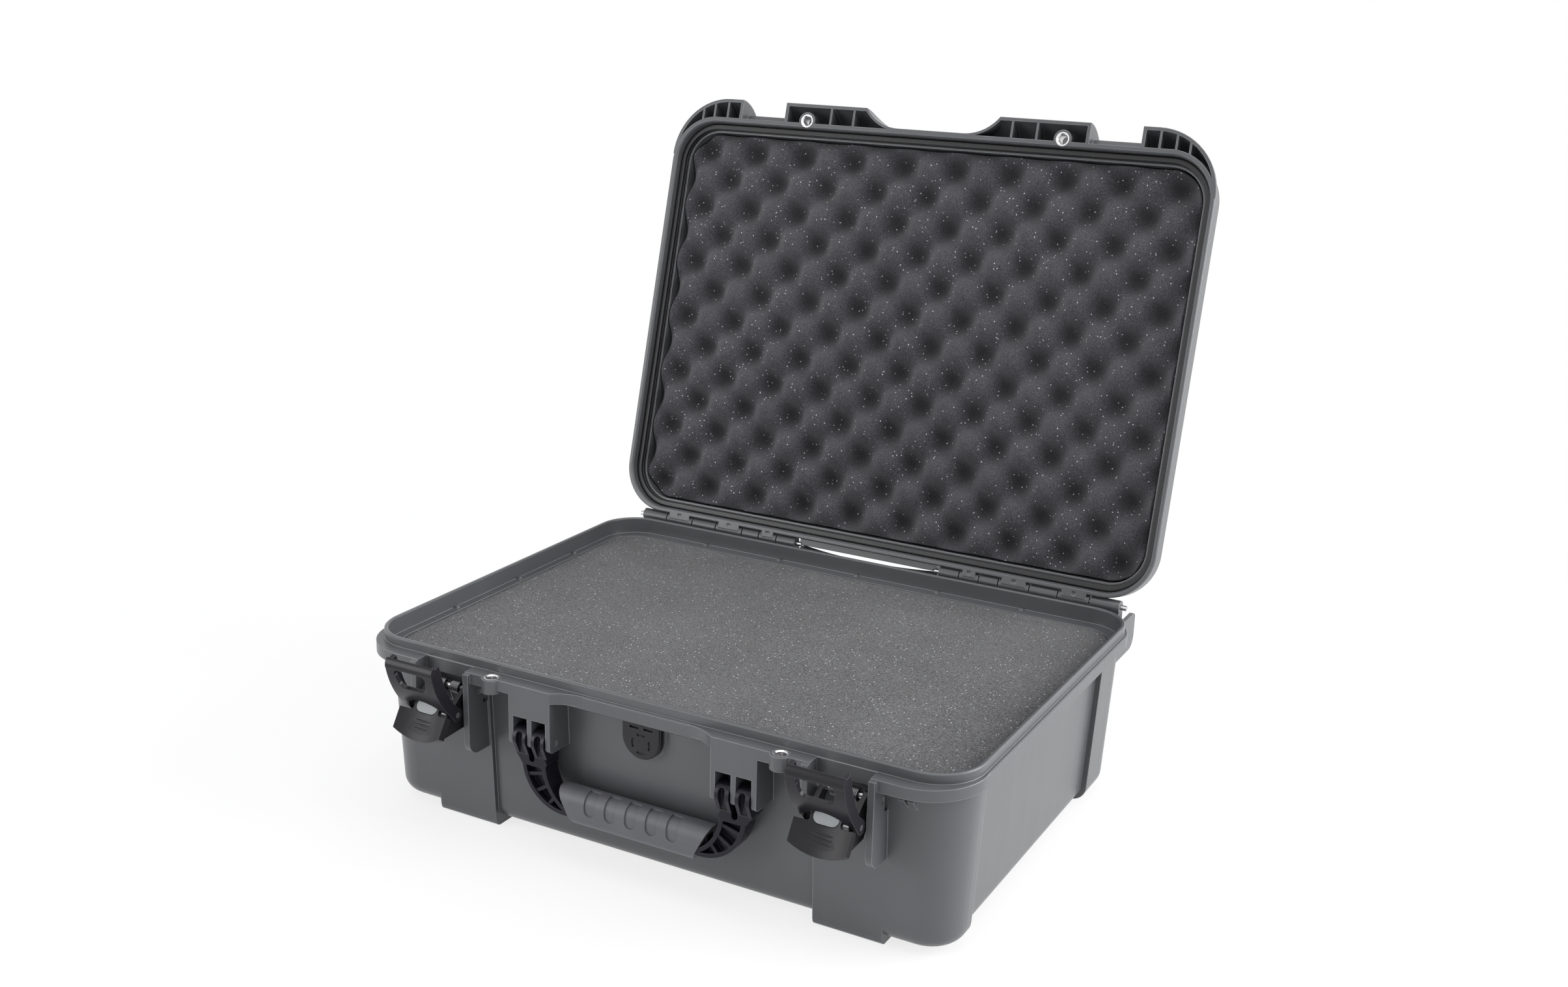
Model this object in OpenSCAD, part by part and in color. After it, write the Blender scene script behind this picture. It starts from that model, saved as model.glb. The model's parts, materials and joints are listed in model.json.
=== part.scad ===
// Waterproof carry case with a hinged lid, two claw latches, a folding handle and fitted foam.
// X runs along the front, +Y towards the hinges, Z up from the resting face; the lid stands open.

/* [Rim] */
// Outer width of the raised sealing lip
lip_w = 465; // [420:1:520]
// Outer depth of the raised sealing lip
lip_d = 332; // [300:1:370]
// Outer corner radius of the sealing lip
lip_r = 33; // [26:1:40]
// Wall of the sealing lip
lip_t = 3; // [2:0.2:4]
// Height of the sealing lip above the flange
lip_h = 7; // [5:0.5:9]
// How far the flange stands out past the lip
flange_out = 2.5; // [1.5:0.5:5]
// Height of the flange band
flange_h = 10; // [8:0.5:14]

/* [Base] */
// Height of the base from the resting face to the top of the lip
base_h = 134; // [110:1:170]
// Inset of the side walls behind the lip, just below the flange
side_inset = 2.5; // [1:0.5:6]
// Inset of the front and back walls behind the lip, just below the flange
front_inset = 6.8; // [5:0.2:10]
// Corner radius of the walls below the flange
wall_r = 31; // [24:1:38]
// Draft angle of the walls
draft = 2.8; // [1:0.1:4]
// Wall thickness
wall_t = 3.2; // [2.4:0.2:4]
// Height of the floor's underside above the resting face
foot_h = 4.5; // [3:0.5:7]
// Radius where walls meet the floor
bottom_r = 12; // [8:1:16]
// Depth of the foam ledge below the top of the lip
ledge_drop = 13; // [12:0.5:16]
// Step of the recessed side panels
panel_step = 4.5; // [2:0.5:5]
// Front end of the side panels, from the middle
panel_front = 121; // [100:1:124]
// Back end of the side panels, from the middle
panel_back = 99; // [60:1:120]
// Step of the recessed middle of the front and back walls
centre_step = 3.7; // [2:0.1:5]
// Half width of that recess
centre_half = 128; // [120:1:131]
// Outer edge of the feet, from the middle
foot_outer = 178; // [160:1:185]
// Depth of each foot, front to back
foot_len = 46; // [30:1:60]
// Width of the skids that join the feet
skid_w = 14; // [8:1:20]

/* [Front flange] */
// How far the front flange stands out past the sealing lip
front_out = 10.5; // [8:0.5:14]
// Thickness of the front flange
front_t = 8; // [6:0.5:10]
// Padlock eye, distance from the middle
eye_x = 112.6; // [106:0.2:118]
// Padlock eye, distance in front of the sealing lip
eye_out = 8; // [7.5:0.1:9]
// Hole through the padlock bush
eye_r = 3.6; // [3:0.1:4]
// Outer radius of the padlock bush
bush_r = 5.4; // [5:0.1:5.8]

/* [Latches] */
// Middle of each latch, from the middle of the case
latch_x = 154.75; // [150:0.25:158]
// Free width between the guard plates
latch_gap = 41.5; // [41.5:0.5:46]
// Thickness of the guard plates
guard_t = 4.5; // [3:0.5:5]
// Guard plates, front edge in front of the sealing lip
guard_reach = 13; // [9:0.5:16]
// Guard plates, lower end below the top of the lip
guard_drop = 69; // [54:1:80]
// Width of claw and lever
latch_w = 40; // [36:0.5:40]
// Side cheeks of claw and lever
cheek_t = 3.2; // [2.4:0.2:4]
// Length from the claw's pivot to the underside of its tooth
claw_reach = 46.5; // [46.5:0.1:48]
// Lean of the released claw from its closed pose
claw_lean = 30; // [25:1:32]
// Width of the window in the claw
window_w = 27; // [18:1:30]
// Height of the window in the claw
window_h = 15.5; // [10:0.5:16]
// Radius of the latch pins
latch_pin_r = 2; // [1.5:0.1:2.4]

/* [Handle] */
// Inner face of each handle bracket, past the end of the grip
bracket_past = 2.5; // [0:0.5:6]
// Width of each handle bracket
bracket_w = 34; // [32:1:38]
// Depth of the bracket's lower end below the lip
bracket_drop = 52; // [48:1:58]
// Radius of the handle pins
handle_pin_r = 2; // [1.5:0.1:2.4]
// Length of the soft grip
grip_len = 121; // [104:1:126]
// Height of the soft grip's section
grip_h = 26; // [20:1:30]
// Depth of the soft grip's section
grip_t = 19; // [15:1:20]
// Drop of the grip's middle below the handle pins
grip_drop = 44; // [40:1:48]

/* [Lid] */
// Height of the lid's top above the lip of the base
lid_h = 44; // [36:1:60]
// Width of the lid's rim
rim_t = 4.2; // [3:0.2:5]
// Space between the lip and the inside of the lid's rim
rim_gap = 1.8; // [1:0.1:2.5]
// How far the lid's hood stands out in front of the sealing lip
hood_out = 22; // [18:0.5:28]
// Corner radius of the hood
hood_r = 50; // [44:1:56]
// Height and depth of the hood's curved skin
hood_h = 23; // [20:1:24]
// Skin of the hood
hood_t = 2.6; // [2:0.2:3.4]
// Half width of the handle cut-out in the hood
cut_half = 58; // [48:1:62]
// Angle at which the lid stands open
lid_angle = 104.85; // [90:0.05:108]
// Radius of the edge round the lid's top
top_r = 14; // [8:1:18]

/* [Hinge] */
// Hinge axis behind the sealing lip
hinge_out = 11; // [10:0.5:14]
// Hinge axis above (or below, if negative) the top of the lip
hinge_z = -1; // [-2:0.5:1]
// Radius of the hinge barrels
barrel_r = 5.2; // [4.4:0.2:5.4]
// Radius of the hinge pins
hinge_pin_r = 2; // [1.5:0.1:2.6]
// End gap between neighbouring knuckles
knuckle_gap = 1.2; // [0.6:0.2:2]
// Inner end of each row of knuckles, from the middle
row_in = 65.5; // [60:0.5:72]
// Outer end of each row of knuckles, inside the case's own end
row_inset = 15.5; // [14:0.5:22]

/* [Foam] */
// Thickness of the solid pad on the floor
pad_t = 12; // [6:1:20]
// Pitch of the egg-crate bumps
crate_pitch = 46.6; // [40:0.2:54]
// Height of the bumps above and below their middle
crate_amp = 9; // [5:0.5:10]
// Middle height of the egg-crate below the lid's inside
crate_mid = 30; // [24:1:32]
// Free gap round the foam
foam_gap = 0.5; // [0.4:0.1:1.5]

/* [Fits] */
// Radial clearance of a pin that is held
held_fit = 0.02; // [0.01:0.01:0.03]
// Radial clearance of a pin that something turns on
run_fit = 0.08; // [0.05:0.01:0.1]
// Clear gap between pieces that seat on each other
seat = 0.3; // [0.2:0.05:0.5]

/* [Hidden] */
$fn = 64;

flange_top = base_h - lip_h;
flange_low = flange_top - flange_h;
front_y = lip_d / 2 + front_out;
eye_y = lip_d / 2 + eye_out;
guard_y = lip_d / 2 + guard_reach;
guard_low = base_h - guard_drop;
hood_y = lip_d / 2 + hood_out;
hinge_y = lip_d / 2 + hinge_out;
row_out = lip_w / 2 - row_inset;
bracket_in = grip_len / 2 + bracket_past;
lip_cx = lip_w / 2 - lip_r;
lip_cy = lip_d / 2 - lip_r;
wall_x = lip_w / 2 - side_inset;
wall_y = lip_d / 2 - front_inset;
wall_cx = wall_x - wall_r;
wall_cy = wall_y - wall_r;
ledge_z = base_h - ledge_drop;
slope = tan(draft);
floor_in = foot_h + wall_t + 0.3;
cavity_x = wall_x - panel_step - wall_t;
cavity_y = wall_y - centre_step - wall_t;
cavity_r = wall_r - panel_step - 2.5;
axis_z = base_h + hinge_z;
shell_grey = [0.36, 0.37, 0.375];
latch_grey = [0.17, 0.17, 0.18];
foam_grey = [0.19, 0.19, 0.2];
steel = [0.75, 0.76, 0.78];

// Half width of a drafted wall at height z, when it is half_top wide at the flange
function drafted(half_top, z) = half_top - (flange_low - z) * slope;

// A ring or block of one section, carried round a rounded rectangle with its corner centres at cx, cy
module swept(cx, cy) {
    for (sx = [-1, 1], sy = [-1, 1])
        translate([sx * cx, sy * cy, 0])
            rotate(sx * sy > 0 ? (sx > 0 ? 0 : 180) : (sx > 0 ? 270 : 90))
                rotate_extrude(angle = 90) children();
    for (s = [0, 180]) rotate(s) {
        side_x(cx, -cy, cy) children();
        side_y(cy, -cx, cx) children();
    }
}

// The section drawn along the +X side, from y0 to y1
module side_x(cx, y0, y1) {
    translate([cx, y1, 0]) rotate([90, 0, 0]) linear_extrude(y1 - y0) children();
}

// The section drawn along the +Y side, from x0 to x1
module side_y(cy, x0, x1) {
    rotate(90) translate([cy, -x0, 0]) rotate([90, 0, 0]) linear_extrude(x1 - x0) children();
}

// A solid drawn in a side view: the outline's first axis is Y, its second is Z, from x0 to x1
module side_view(x0, x1) {
    translate([x0, 0, 0]) rotate([90, 0, 90]) linear_extrude(x1 - x0) children();
}

module box(x0, x1, y0, y1, z0, z1) {
    translate([x0, y0, z0]) cube([x1 - x0, y1 - y0, z1 - z0]);
}

// A round bar along X
module bar(x0, x1, y, z, r) {
    translate([x0, y, z]) rotate([0, 90, 0]) cylinder(h = x1 - x0, r = r);
}

module pair() {
    children();
    mirror([1, 0, 0]) children();
}

// Section of a drafted tub: a wall that leans out, with a rounded foot, filled to its axis
module tub_section(r_top, z_low, z_high, round_r) {
    zc = z_low + round_r;
    xc = drafted(r_top, zc) - round_r / cos(draft);
    translate([xc, zc]) circle(round_r);
    polygon([[0, z_low], [xc, z_low], [xc + round_r * cos(draft), zc - round_r * sin(draft)],
        [drafted(r_top, z_high), z_high], [0, z_high]]);
}

// A solid drafted block with rounded corners and a rounded foot
module tub(half_x, half_y, r, z_low, z_high, round_r) {
    swept(half_x - r, half_y - r) tub_section(r, z_low, z_high, round_r);
    box(r - half_x, half_x - r, r - half_y, half_y - r, z_low, z_high);
}

// ---- base ----

// Walls of the base, with their recessed side panels and recessed middle
module base_walls() {
    top = flange_low + 2;
    module section(step) {
        translate([-step, 0]) tub_section(wall_r, foot_h, top, bottom_r);
    }
    for (sx = [-1, 1], sy = [-1, 1])
        translate([sx * wall_cx, sy * wall_cy, 0])
            rotate(sx * sy > 0 ? (sx > 0 ? 0 : 180) : (sx > 0 ? 270 : 90))
                rotate_extrude(angle = 90) section(0);
    pair() {
        side_x(wall_cx, -wall_cy, -panel_front) section(0);
        side_x(wall_cx, -panel_front, panel_back) section(panel_step);
        side_x(wall_cx, panel_back, wall_cy) section(0);
    }
    for (s = [0, 180]) rotate(s) {
        side_y(wall_cy, -wall_cx, -centre_half) section(0);
        side_y(wall_cy, -centre_half, centre_half) section(centre_step);
        side_y(wall_cy, centre_half, wall_cx) section(0);
    }
    box(-wall_cx, wall_cx, -wall_cy, wall_cy, foot_h, top);
}

// Sealing lip, flange band and the ledge that carries the foam's edge
module rim_section() {
    polygon([[lip_r - 16, flange_low], [lip_r + flange_out - 1, flange_low],
        [lip_r + flange_out, flange_low + 1], [lip_r + flange_out, flange_top - 0.8],
        [lip_r + flange_out - 0.8, flange_top], [lip_r, flange_top], [lip_r, base_h - 0.7],
        [lip_r - 0.7, base_h], [lip_r - lip_t + 0.7, base_h], [lip_r - lip_t, base_h - 0.7],
        [lip_r - lip_t, ledge_z], [lip_r - 16, ledge_z]]);
}

// What hangs on the outside of the base, ended inside the lip's own wall
module outside_lip() {
    difference() {
        children();
        swept(lip_cx, lip_cy) translate([0, ledge_z - 1]) square([lip_r - 1, base_h]);
        box(-lip_cx, lip_cx, -lip_cy, lip_cy, ledge_z - 1, 2 * base_h);
    }
}

// Flange plates in front: beside the latches, over the brackets and round the corners
module front_plates() {
    low = flange_top - front_t;
    back = lip_d / 2 - 1;
    gap_in = guard_in;
    gap_out = guard_out;
    pad_r = 40;
    gusset_w = 22;
    gusset_h = front_y - lip_d / 2 - flange_out;
    gusset_r = (gusset_w * gusset_w + gusset_h * gusset_h) / (2 * gusset_h);
    pair() {
        box(bracket_in, gap_in, -front_y, -back, low, flange_top);
        translate([eye_x, -eye_y, low - 2]) cylinder(h = front_t + 2, r = bush_r + 2);
        difference() {
            box(bracket_in - gusset_w, bracket_in, -front_y, -back, low, flange_top);
            translate([bracket_in - gusset_w, -lip_d / 2 - flange_out - gusset_r, low - 1])
                cylinder(h = front_t + 2, r = gusset_r, $fn = 160);
        }
        intersection() {
            translate([0, 0, low]) linear_extrude(front_t) {
                translate([lip_w / 2 + flange_out - pad_r, pad_r - front_y]) circle(pad_r, $fn = 128);
                translate([0, -front_y]) square([lip_w / 2 + flange_out - pad_r, 60]);
            }
            box(gap_out, lip_w, -front_y - 1, -front_y + 50, 0, base_h);
        }
    }
}

// Thin plates on both sides of a latch, with a window near the top beside the wall
module latch_guards() {
    round_r = 10;
    for (x = [guard_in - guard_t, guard_out])
        difference() {
            side_view(x, x + guard_t) {
                translate([-guard_y, guard_low + round_r])
                    square([guard_y - drafted(wall_y, guard_low) + 3, flange_top - 1 - guard_low - round_r]);
                translate([-guard_y + round_r, guard_low])
                    square([guard_y - round_r - drafted(wall_y, guard_low) + 3, 40]);
                translate([-guard_y + round_r, guard_low + round_r]) circle(round_r);
            }
            side_view(x - 1, x + guard_t + 1) {
                translate([-pivot_y + 3.8, pivot_z - 9]) square([12, 11]);
                translate([-pivot_y + 7, pivot_z + 2]) circle(3.2);
                translate([-pivot_y + 7, pivot_z + 2]) square([9, 3.2]);
            }
        }
}

// Bracket that hangs from the flange and takes the handle's two prongs
module handle_bracket() {
    low = base_h - bracket_drop;
    difference() {
        side_view(bracket_in, bracket_in + bracket_w) {
            translate([-front_y, low + 4]) square([front_y - wall_y + centre_step + 8, bracket_drop - lip_h - 4]);
            translate([-front_y + 4, low]) square([front_y - wall_y + centre_step + 4, 20]);
            translate([-front_y + 4, low + 4]) circle(4);
        }
        for (slot = bracket_slots)
            box(slot[0], slot[1], -front_y - 1, -handle_y + 11, low - 1, handle_z + 16);
    }
}

pivot_y = lip_d / 2 + 1;
pivot_z = base_h - 25;
claw_y = lip_d / 2 + 18;
claw_z = base_h - 37;
guard_in = latch_x - latch_gap / 2;
guard_out = latch_x + latch_gap / 2;
handle_y = lip_d / 2 + 4;
handle_z = base_h - 46;
bracket_wall = 3.6;
slot_gap = 0.6;
slot_w = (bracket_w - 3 * bracket_wall) / 2;
bracket_slots = [[bracket_in + bracket_wall, bracket_in + bracket_wall + slot_w],
    [bracket_in + 2 * bracket_wall + slot_w, bracket_in + bracket_w - bracket_wall]];

// Ends of the knuckles along each row; every other one is carried by the lid
knuckle_ends = [for (f = [0, 0.119, 0.231, 0.34, 0.512, 0.667, 0.838, 1]) row_in + f * (row_out - row_in)];
knuckles = [for (i = [0:6]) [knuckle_ends[i], knuckle_ends[i + 1], i % 2 == 1]];

// Barrels of the base's knuckles, each on a web down to the flange
module base_knuckles() {
    for (k = knuckles)
        if (!k[2]) {
            a = k[0] + knuckle_gap / 2;
            b = k[1] - knuckle_gap / 2;
            bar(a, b, hinge_y, axis_z, barrel_r);
            side_view(a, b)
                polygon([[hinge_y - barrel_r + 1, axis_z], [hinge_y + barrel_r, axis_z],
                    [hinge_y + barrel_r, flange_low + 4], [wall_y - 6, flange_low - 14],
                    [wall_y - 6, flange_top - 2], [hinge_y - barrel_r - 2, flange_top - 2],
                    [hinge_y - barrel_r + 1, flange_top - 0.6]]);
        }
}

// Rounded ribs on the back wall: they end the hinge rows and stop the open lid
module hinge_ribs() {
    low = flange_low - 22;
    high = flange_top - 4;
    reach = hinge_y + 23 - wall_y;
    for (x = [row_in - 5, row_out + 1])
        side_view(x, x + 3.6) {
            translate([wall_y - 6, low]) square([reach - 4, high - low]);
            translate([wall_y - 3, low + 10]) square([reach + 3, high - low - 14]);
            translate([wall_y - 10 + reach, low + 10]) circle(10);
            translate([wall_y - 4 + reach, high - 4]) circle(4);
            polygon([[wall_y - 3, low], [wall_y - 10 + reach, low], [wall_y - 4 + reach, high], [wall_y - 3, high]]);
        }
}

// Bridge behind the lip between the hinge rows, with a bay for the fingers
module rear_bridge() {
    half = row_in - 3;
    deep = 10.5;
    arc_r = (half * half + deep * deep) / (2 * deep);
    difference() {
        union() {
            box(-half, half, lip_d / 2 - 1, hinge_y + 7, flange_low + 2, flange_top);
            box(-half, half, lip_d / 2 + rim_gap + rim_t + 0.4, hinge_y + 7, flange_low + 2, axis_z - 2.8);
        }
        translate([0, hinge_y - 3.2 + arc_r, flange_low]) cylinder(h = 40, r = arc_r, $fn = 256);
    }
}

// Feet at the front and back, and the skids and cross bars between them
module base_feet() {
    edge = drafted(wall_y, 0);
    skid_y = edge - 30;
    for (s = [0, 180]) rotate(s) pair() {
        side_view(centre_half, foot_outer) {
            translate([-edge + 5, 0]) square([foot_len - 5, foot_h + 2]);
            translate([-edge + 5, 5]) circle(5);
            polygon([[-drafted(wall_y, 20), 20], [-drafted(wall_y, 5), 5], [-edge + 8, 5], [-edge + 14, 20]]);
        }
    }
    difference() {
        box(-foot_outer, foot_outer, -skid_y, skid_y, 0, foot_h + 1);
        box(-foot_outer + skid_w, foot_outer - skid_w, -skid_y + skid_w, skid_y - skid_w, -1, foot_h);
    }
}

valve_z = flange_low - 17.5;
valve_r = 15;
valve_wall = drafted(wall_y, valve_z) - centre_step;
valve_pad_y = valve_wall + 1.6;
valve_hole_r = 6;

// D-shaped outline with a flat top under the flange, seen from the front, between two depths
module valve_plate(r, y0, y1) {
    translate([0, y1, 0]) rotate([90, 0, 0]) linear_extrude(y1 - y0) {
        translate([0, flange_low - 13.5]) intersection() {
            circle(r);
            translate([-r, -r]) square([2 * r, r]);
        }
        translate([-r, flange_low - 13.5]) square([2 * r, 13]);
    }
}

module valve_backing() {
    valve_plate(valve_r + 1.4, -valve_pad_y, -valve_wall + 3);
}

// Small round studs on the foam ledge
module ledge_bosses() {
    for (x = [-146, -74, -2, 70, 142], s = [-1, 1])
        translate([x, s * (lip_d / 2 - lip_t - 2.4), ledge_z - 1]) cylinder(h = 2.2, r = 1.6, $fn = 24);
    for (y = [-70, 8, 83]) pair()
        translate([lip_w / 2 - lip_t - 2.4, y, ledge_z - 1]) cylinder(h = 2.2, r = 1.6, $fn = 24);
}

// Slotted wedges on the wall outside the latches, where the pivot pins are driven in
module pin_entries() {
    difference() {
        for (x = [wall_cx - 10, wall_cx - 3.5])
            side_view(x, x + 4.5)
                polygon([[-wall_y + 3, flange_low], [-wall_y - 5, pivot_z + 5], [-wall_y - 6.5, pivot_z + 3],
                    [-wall_y + 3, pivot_z - 7]]);
        box(guard_in, guard_out, -guard_y, -wall_y + 2, pivot_z - 20, flange_low - 0.5);
    }
}

module base_shell() {
    color(shell_grey) difference() {
        union() {
            base_walls();
            swept(lip_cx, lip_cy) rim_section();
            outside_lip() {
                front_plates();
                rear_bridge();
                pair() {
                    latch_guards();
                    handle_bracket();
                    base_knuckles();
                    hinge_ribs();
                }
            }
            base_feet();
            valve_backing();
            ledge_bosses();
            pin_entries();
        }
        tub(cavity_x, cavity_y, cavity_r, floor_in, ledge_z + 1, bottom_r - wall_t);
        pair() {
            bar(bracket_in - 1, bracket_in + bracket_w - 1.2, -handle_y, handle_z, handle_pin_r + held_fit);
            bar(row_in - 5.5, row_out + 4.6, hinge_y, axis_z, hinge_pin_r + held_fit);
            bar(guard_in - guard_t - 1, guard_out + guard_t + 1, -pivot_y, pivot_z, latch_pin_r + held_fit);
            box(guard_in, guard_out, -lip_d / 2 - flange_out - 1, -lip_d / 2 - 0.6, flange_low - 1, flange_top + 1);
            translate([eye_x, -eye_y, 0]) cylinder(h = base_h, r = bush_r + held_fit);
        }
        translate([0, -valve_pad_y - 1, valve_z]) rotate([-90, 0, 0]) cylinder(h = 14, r = valve_hole_r);
        // Row of shallow slots low in each guard's foot
        pair() box(guard_in - 0.6, guard_in, -guard_y + 6, -guard_y + 14, guard_low + 8, guard_low + 20);
    }
}

// ---- foam in the base ----

// Blocks that follow the drafted cavity with a free gap all round
module base_block(z0, z1, round_r) {
    tub(cavity_x - foam_gap, cavity_y - foam_gap, cavity_r - foam_gap, z0, z1, round_r);
}

module base_foam_pad() {
    color(foam_grey) intersection() {
        base_block(floor_in + 0.2, floor_in + 30, bottom_r - wall_t - 0.2);
        box(-lip_w, lip_w, -lip_d, lip_d, 0, floor_in + 0.2 + pad_t);
    }
}

foam_split = (floor_in + pad_t + ledge_z) / 2;

module base_foam_lower() {
    color(foam_grey) base_block(floor_in + 0.4 + pad_t, foam_split, 0.6);
}

module base_foam_upper() {
    color(foam_grey) base_block(foam_split + 0.2, ledge_z, 0.6);
}

// ---- valve ----

module valve_cover() {
    front = valve_pad_y + 4.6;
    back = valve_pad_y + 0.2;
    color(latch_grey) difference() {
        union() {
            valve_plate(valve_r, -front + 0.8, -back);
            valve_plate(valve_r - 0.9, -front, -back);
        }
        // Ring of four arcs round the middle
        translate([0, -front + 0.9, valve_z]) rotate([90, 0, 0]) difference() {
            cylinder(h = 3, r = 7.6);
            translate([0, 0, -1]) cylinder(h = 5, r = 5.8);
            for (a = [45, 135]) rotate(a) translate([-10, -2, -1]) cube([20, 4, 5]);
        }
        // Two air slots above the ring
        for (s = [-1, 1]) translate([s * 5.5 - 3.6, -front - 1, flange_low - 7]) cube([7.2, 3, 1.6]);
        // Recess at the back for the core's head
        translate([0, -back + 1, valve_z]) rotate([90, 0, 0]) cylinder(h = 3.4, r = 9);
    }
}

module valve_core() {
    color(latch_grey) difference() {
        union() {
            translate([0, -valve_pad_y - 0.1, valve_z]) rotate([90, 0, 0]) cylinder(h = 1.9, r = 8.4);
            translate([0, -valve_pad_y + 4, valve_z]) rotate([90, 0, 0]) cylinder(h = 5, r = valve_hole_r - 0.35);
        }
        translate([0, -valve_pad_y + 5, valve_z]) rotate([90, 0, 0]) cylinder(h = 9, r = 3);
        translate([0, -valve_pad_y - 1.1, valve_z]) rotate([90, 0, 0]) cylinder(h = 3, r = 4.6);
        // Groove under the head for the seal
        translate([0, -valve_pad_y, valve_z]) rotate([90, 0, 0]) difference() {
            cylinder(h = 0.8, r = 8);
            translate([0, 0, -1]) cylinder(h = 3, r = 6.4);
        }
    }
}

module valve_membrane() {
    color([0.9, 0.9, 0.88]) translate([0, -valve_pad_y - 1.2, valve_z]) rotate([90, 0, 0]) cylinder(h = 0.5, r = 4.2);
}

module valve_gasket() {
    color([0.08, 0.08, 0.08]) translate([0, -valve_pad_y - 0.05, valve_z]) rotate([90, 0, 0]) difference() {
        cylinder(h = 0.65, r = 7.7);
        translate([0, 0, -1]) cylinder(h = 3, r = 6.7);
    }
}

// ---- bushes and hinge pins ----

module eye_bush(z0, z1) {
    translate([eye_x, -eye_y, z0]) difference() {
        union() {
            cylinder(h = z1 - z0, r = bush_r);
        }
        translate([0, 0, -1]) cylinder(h = z1 - z0 + 2, r = eye_r);
        translate([0, 0, z1 - z0 - 0.8]) cylinder(h = 1, r1 = eye_r, r2 = eye_r + 1);
    }
}

module base_padlock_bushes() {
    color(steel) pair() eye_bush(flange_top - front_t - 2, flange_top);
}

module hinge_pin() {
    color(steel) bar(row_in - 4.5, row_out + 4, hinge_y, axis_z, hinge_pin_r);
}

module hinge_pin_right() {
    hinge_pin();
}

module hinge_pin_left() {
    mirror([1, 0, 0]) hinge_pin();
}

// ---- lid, drawn shut, then turned open about the hinge axis ----

lid_top = base_h + lid_h;
lid_low = flange_top + seat;
rim_in = lip_r + rim_gap;
rim_out = rim_in + rim_t;
shelf_z = claw_z + claw_reach - seat;
groove_z = shelf_z - 2.5;
inner_lip_z = base_h + 5;
inner_lip = lip_r - lip_t - 0.5;
lid_wall_top = 31;
lid_skin = 3.4;

function lid_wall(z) = lid_wall_top - (z - shelf_z) * slope;

module open_lid() {
    translate([0, hinge_y, axis_z]) rotate([-lid_angle, 0, 0]) translate([0, -hinge_y, -axis_z]) children();
}

// Section of a cover: drafted wall with a rounded upper edge, filled to its axis
module cover_section(offset_in, z_low, z_top, round_r) {
    zc = z_top - round_r;
    xc = lid_wall(zc) - offset_in - round_r / cos(draft);
    translate([xc, zc]) circle(round_r);
    polygon([[0, z_low], [lid_wall(z_low) - offset_in, z_low],
        [xc + round_r * cos(draft), zc + round_r * sin(draft)], [xc, z_top], [0, z_top]]);
}

module lid_solid() {
    swept(lip_cx, lip_cy) {
        cover_section(0, shelf_z - 1, lid_top, top_r);
        polygon([[0, lid_low], [rim_out - 0.8, lid_low], [rim_out, lid_low + 0.8],
            [rim_out, shelf_z - 1], [rim_out - 1, shelf_z], [0, shelf_z]]);
    }
    box(-lip_cx, lip_cx, -lip_cy, lip_cy, lid_low, lid_top);
}

// Space inside the lid: the cavity, the gasket's groove and the clearance over the lip
module lid_space() {
    swept(lip_cx, lip_cy) {
        cover_section(lid_skin, inner_lip_z - 1, lid_top - lid_skin + 0.2, top_r - lid_skin);
        polygon([[0, flange_top - 1], [rim_in + 1.2, flange_top - 1], [rim_in + 1.2, lid_low],
            [rim_in, lid_low + 1.5], [rim_in, groove_z], [inner_lip, groove_z],
            [inner_lip, inner_lip_z], [0, inner_lip_z]]);
    }
    box(-lip_cx, lip_cx, -lip_cy, lip_cy, flange_top - 1, lid_top - lid_skin + 0.2);
}

hood_cx = lip_w / 2 + rim_gap + rim_t - hood_r;
hood_cy = hood_y - hood_r;

// Quarter-round hood along the front and round both front corners, of radius r about its own axis
module hood_body(r) {
    z0 = lid_low;
    module section() {
        intersection() {
            translate([hood_r - hood_h, z0]) circle(r, $fn = 128);
            translate([0, z0]) square([hood_r, hood_h]);
        }
        translate([0, z0]) square([hood_r - hood_h, r]);
    }
    translate([hood_cx, -hood_cy, 0]) rotate(-90) rotate_extrude(angle = 90) section();
    translate([-hood_cx, -hood_cy, 0]) rotate(180) rotate_extrude(angle = 90) section();
    rotate(180) side_y(hood_cy, -hood_cx, hood_cx) section();
}

// Cut for the handle: a shallow bay with flowing ends, grown inwards by g
module handle_bay(g) {
    flat = cut_half - 29;
    deep = lip_d / 2 + rim_gap + rim_t + 1;
    r = 36.8;
    translate([0, 0, flange_top - 1]) linear_extrude(hood_h + 40) {
        translate([-flat, -hood_y - 30]) square([2 * flat, hood_y + 30 - deep + g]);
        for (s = [-1, 1]) translate([s * flat, -deep - r]) circle(r + g, $fn = 160);
    }
}

module lid_hood() {
    rib = 1.6;
    difference() {
        hood_body(hood_h);
        handle_bay(0);
    }
    pair() for (x = [guard_in - 2.6, guard_out])
        intersection() {
            side_view(x, x + 2.6) translate([-hood_y + 38.4, lid_low]) circle(38.4, $fn = 160);
            box(x, x + 2.6, -hood_y, -lip_d / 2 + 4, lid_low, lid_top);
        }
}

// Hollow under the hood, without its ribs, bosses and end walls
module hood_hollow() {
    difference() {
        translate([0, 0, -0.01]) hood_body(hood_h - hood_t);
        swept(lip_cx, lip_cy) translate([0, flange_top - 2]) square([rim_out + 0.1, 60]);
        handle_bay(2);
        pair() {
            for (x = [69, 90, hood_cx + 0.5, hood_cx + 13.5, hood_cx + 24.5])
                box(x, x + 1.6, -hood_y, -100, flange_top - 1, lid_top);
            box(guard_in - 2.6, guard_out + 2.6, -hood_y - 1, -100, flange_top - 1, lid_top);
            translate([eye_x, -eye_y, flange_top - 1]) cylinder(h = 60, r = bush_r + 1.8);
        }
    }
}

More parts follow.
